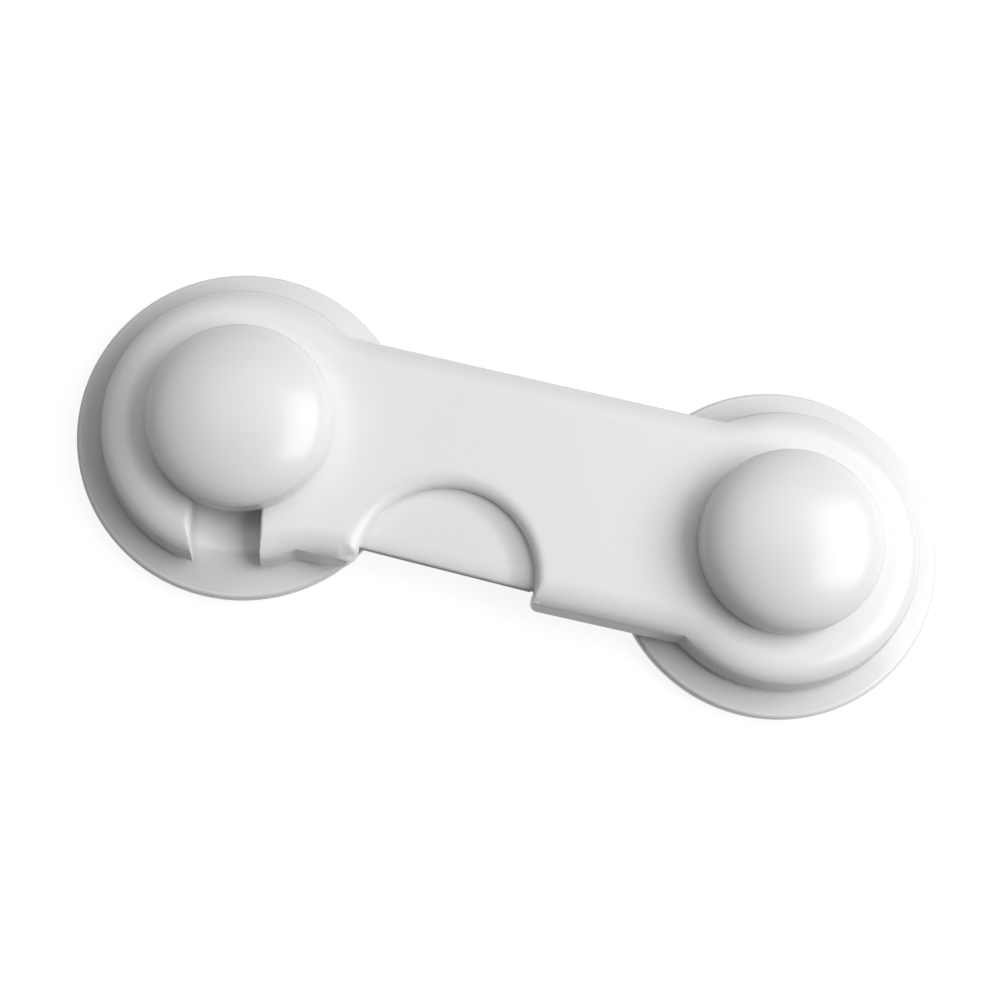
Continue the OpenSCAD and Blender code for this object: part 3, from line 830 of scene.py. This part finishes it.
class LOCK_OT_stage(bpy.types.Operator):
    """Set up the floor, the lights and the camera"""

    bl_idname = "lock.stage"
    bl_label = "Stage"

    # Where the camera stands and how it is turned, from the outlines in the photograph
    focal_share = 1800 / 1001
    sensor = 36.0
    tilt = (-0.1855, 0.0672, -0.2122)
    shift = (1.2048, 0.4998, 230.1308)
    clip = (0.01, 20)
    # Each lamp: degrees turned from the camera's right, degrees risen towards it, width, height
    lamps = {"key": (12, 42, 0.56, 0.44), "back": (88, 60, 0.5, 0.4)}
    lamp_reach = 0.6
    floor_reach, floor_level, floor_glow = 3.0, -0.2 * MM, 0.9

    def execute(self, context):
        self.add_floor()
        self.add_world()
        self.add_lights()
        self.add_camera()
        view = context.scene.view_settings
        view.view_transform = "Standard"
        return {"FINISHED"}

    def ray_share(self, tree, *rays):
        """The output of nodes that give 1 for two kinds of ray and 0 for the others."""
        path = tree.nodes.new("ShaderNodeLightPath")
        seen = tree.nodes.new("ShaderNodeMath")
        seen.operation = "MAXIMUM"
        for ray, socket in zip(rays, seen.inputs):
            tree.links.new(path.outputs[ray], socket)
        return seen.outputs[0]

    def add_floor(self):
        """A matt floor that takes shadows and glows for the camera and in reflections."""
        mesh = bpy.data.meshes.new("floor")
        corners = np.array([[-1, -1], [1, -1], [1, 1], [-1, 1]]) * self.floor_reach
        points = np.column_stack([corners, np.full(4, self.floor_level)])
        mesh.from_pydata(points, [], [(0, 1, 2, 3)])
        material = bpy.data.materials.new("floor")
        material.use_nodes = True
        tree = material.node_tree
        tree.nodes.clear()
        matt = tree.nodes.new("ShaderNodeBsdfDiffuse")
        matt.inputs["Color"].default_value = (*lock()[1].backdrop, 1)
        glow = tree.nodes.new("ShaderNodeEmission")
        level = tree.nodes.new("ShaderNodeMath")
        level.operation = "MULTIPLY"
        level.inputs[1].default_value = self.floor_glow
        seen = self.ray_share(tree, "Is Camera Ray", "Is Glossy Ray")
        tree.links.new(seen, level.inputs[0])
        tree.links.new(level.outputs[0], glow.inputs["Strength"])
        both = tree.nodes.new("ShaderNodeAddShader")
        out = tree.nodes.new("ShaderNodeOutputMaterial")
        tree.links.new(matt.outputs[0], both.inputs[0])
        tree.links.new(glow.outputs[0], both.inputs[1])
        tree.links.new(both.outputs[0], out.inputs["Surface"])
        mesh.materials.append(material)
        floor = bpy.data.objects.new("floor", mesh)
        bpy.context.scene.collection.objects.link(floor)

    def add_world(self):
        """A white backdrop for the camera, and an even fill for all other rays."""
        world = bpy.data.worlds.new("studio")
        bpy.context.scene.world = world
        world.use_nodes = True
        tree = world.node_tree
        background = tree.nodes["Background"]
        background.inputs["Color"].default_value = (1, 1, 1, 1)
        level = tree.nodes.new("ShaderNodeMapRange")
        level.inputs["To Min"].default_value = lock()[2].fill
        level.inputs["To Max"].default_value = 1.0
        seen = self.ray_share(tree, "Is Camera Ray", "Is Transmission Ray")
        tree.links.new(seen, level.inputs["Value"])
        tree.links.new(level.outputs["Result"], background.inputs["Strength"])

    def add_lights(self):
        """The lamps, each with the strength of its own name."""
        studio = lock()[2]
        for name, (turn, rise, width, height) in self.lamps.items():
            self.add_lamp(name, turn, rise, getattr(studio, name), width, height)

    def add_lamp(self, name, turn, rise, power, width, height):
        """A broad lamp that faces the lock, turned from the camera's right and risen towards it."""
        lamp = bpy.data.lights.new(name, "AREA")
        lamp.shape = "RECTANGLE"
        lamp.size, lamp.size_y = width, height
        lamp.energy = power
        turn, rise = math.radians(turn), math.radians(rise)
        level = math.cos(rise)
        seen = Vector((math.cos(turn) * level, math.sin(turn) * level, math.sin(rise)))
        place = (self.camera_turn().transposed() @ seen) * self.lamp_reach
        facing = place.to_track_quat("Z", "Y").to_matrix().to_4x4()
        holder = bpy.data.objects.new(name, lamp)
        holder.matrix_world = Matrix.Translation(place) @ facing
        bpy.context.scene.collection.objects.link(holder)

    def camera_turn(self):
        """The turn from the row frame into the camera's: Rx Ry Rz of the three tilts."""
        turn = Matrix.Rotation(self.tilt[0], 3, "X") @ Matrix.Rotation(self.tilt[1], 3, "Y")
        return turn @ Matrix.Rotation(self.tilt[2], 3, "Z")

    def add_camera(self):
        """A point P of the row frame is seen at R P + (shift), with R the camera's turn."""
        turn = self.camera_turn()
        camera = bpy.data.cameras.new("camera")
        camera.sensor_width = self.sensor
        camera.sensor_fit = "HORIZONTAL"
        camera.lens = self.focal_share * self.sensor
        camera.clip_start, camera.clip_end = self.clip
        holder = bpy.data.objects.new("camera", camera)
        x, y, far = self.shift
        pad_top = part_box("catch_pad")[1].z
        place = turn.transposed() @ Vector((-x, -y, far)) * MM + Vector((0, 0, pad_top))
        holder.matrix_world = Matrix.Translation(place) @ turn.transposed().to_4x4()
        bpy.context.scene.collection.objects.link(holder)
        bpy.context.scene.camera = holder


class LOCK_PT_panel(bpy.types.Panel):
    """Lists the pieces of the lock"""

    bl_idname = "LOCK_PT_panel"
    bl_label = "Cabinet Lock"
    bl_space_type = "VIEW_3D"
    bl_region_type = "UI"
    bl_category = "Cabinet Lock"

    def draw(self, context):
        layout = self.layout
        for group in lock():
            box = layout.box()
            for name in group.__annotations__:
                box.prop(group, name)
        for operator in PIECES:
            layout.operator(operator.bl_idname)


PIECES = (LOCK_OT_finishes, LOCK_OT_arm, LOCK_OT_latch, LOCK_OT_caps, LOCK_OT_bases, LOCK_OT_stage)
GROUPS = {"lock_sizes": LockSizes, "lock_colours": LockColours, "lock_studio": LockStudio}


def register():
    """Adds the settings, the operators and the panel."""
    for cls in (*GROUPS.values(), *PIECES, LOCK_PT_panel):
        bpy.utils.register_class(cls)
    for name, cls in GROUPS.items():
        setattr(bpy.types.Scene, name, PointerProperty(type=cls))


def unregister():
    """Takes them away again."""
    for name in GROUPS:
        delattr(bpy.types.Scene, name)
    for cls in (LOCK_PT_panel, *reversed(PIECES), *reversed(list(GROUPS.values()))):
        bpy.utils.unregister_class(cls)


def main():
    """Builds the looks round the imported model."""
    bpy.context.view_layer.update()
    register()
    bpy.ops.lock.finishes()
    bpy.ops.lock.arm()
    bpy.ops.lock.latch()
    bpy.ops.lock.caps()
    bpy.ops.lock.bases()
    bpy.ops.lock.stage()


if __name__ == "__main__":
    main()
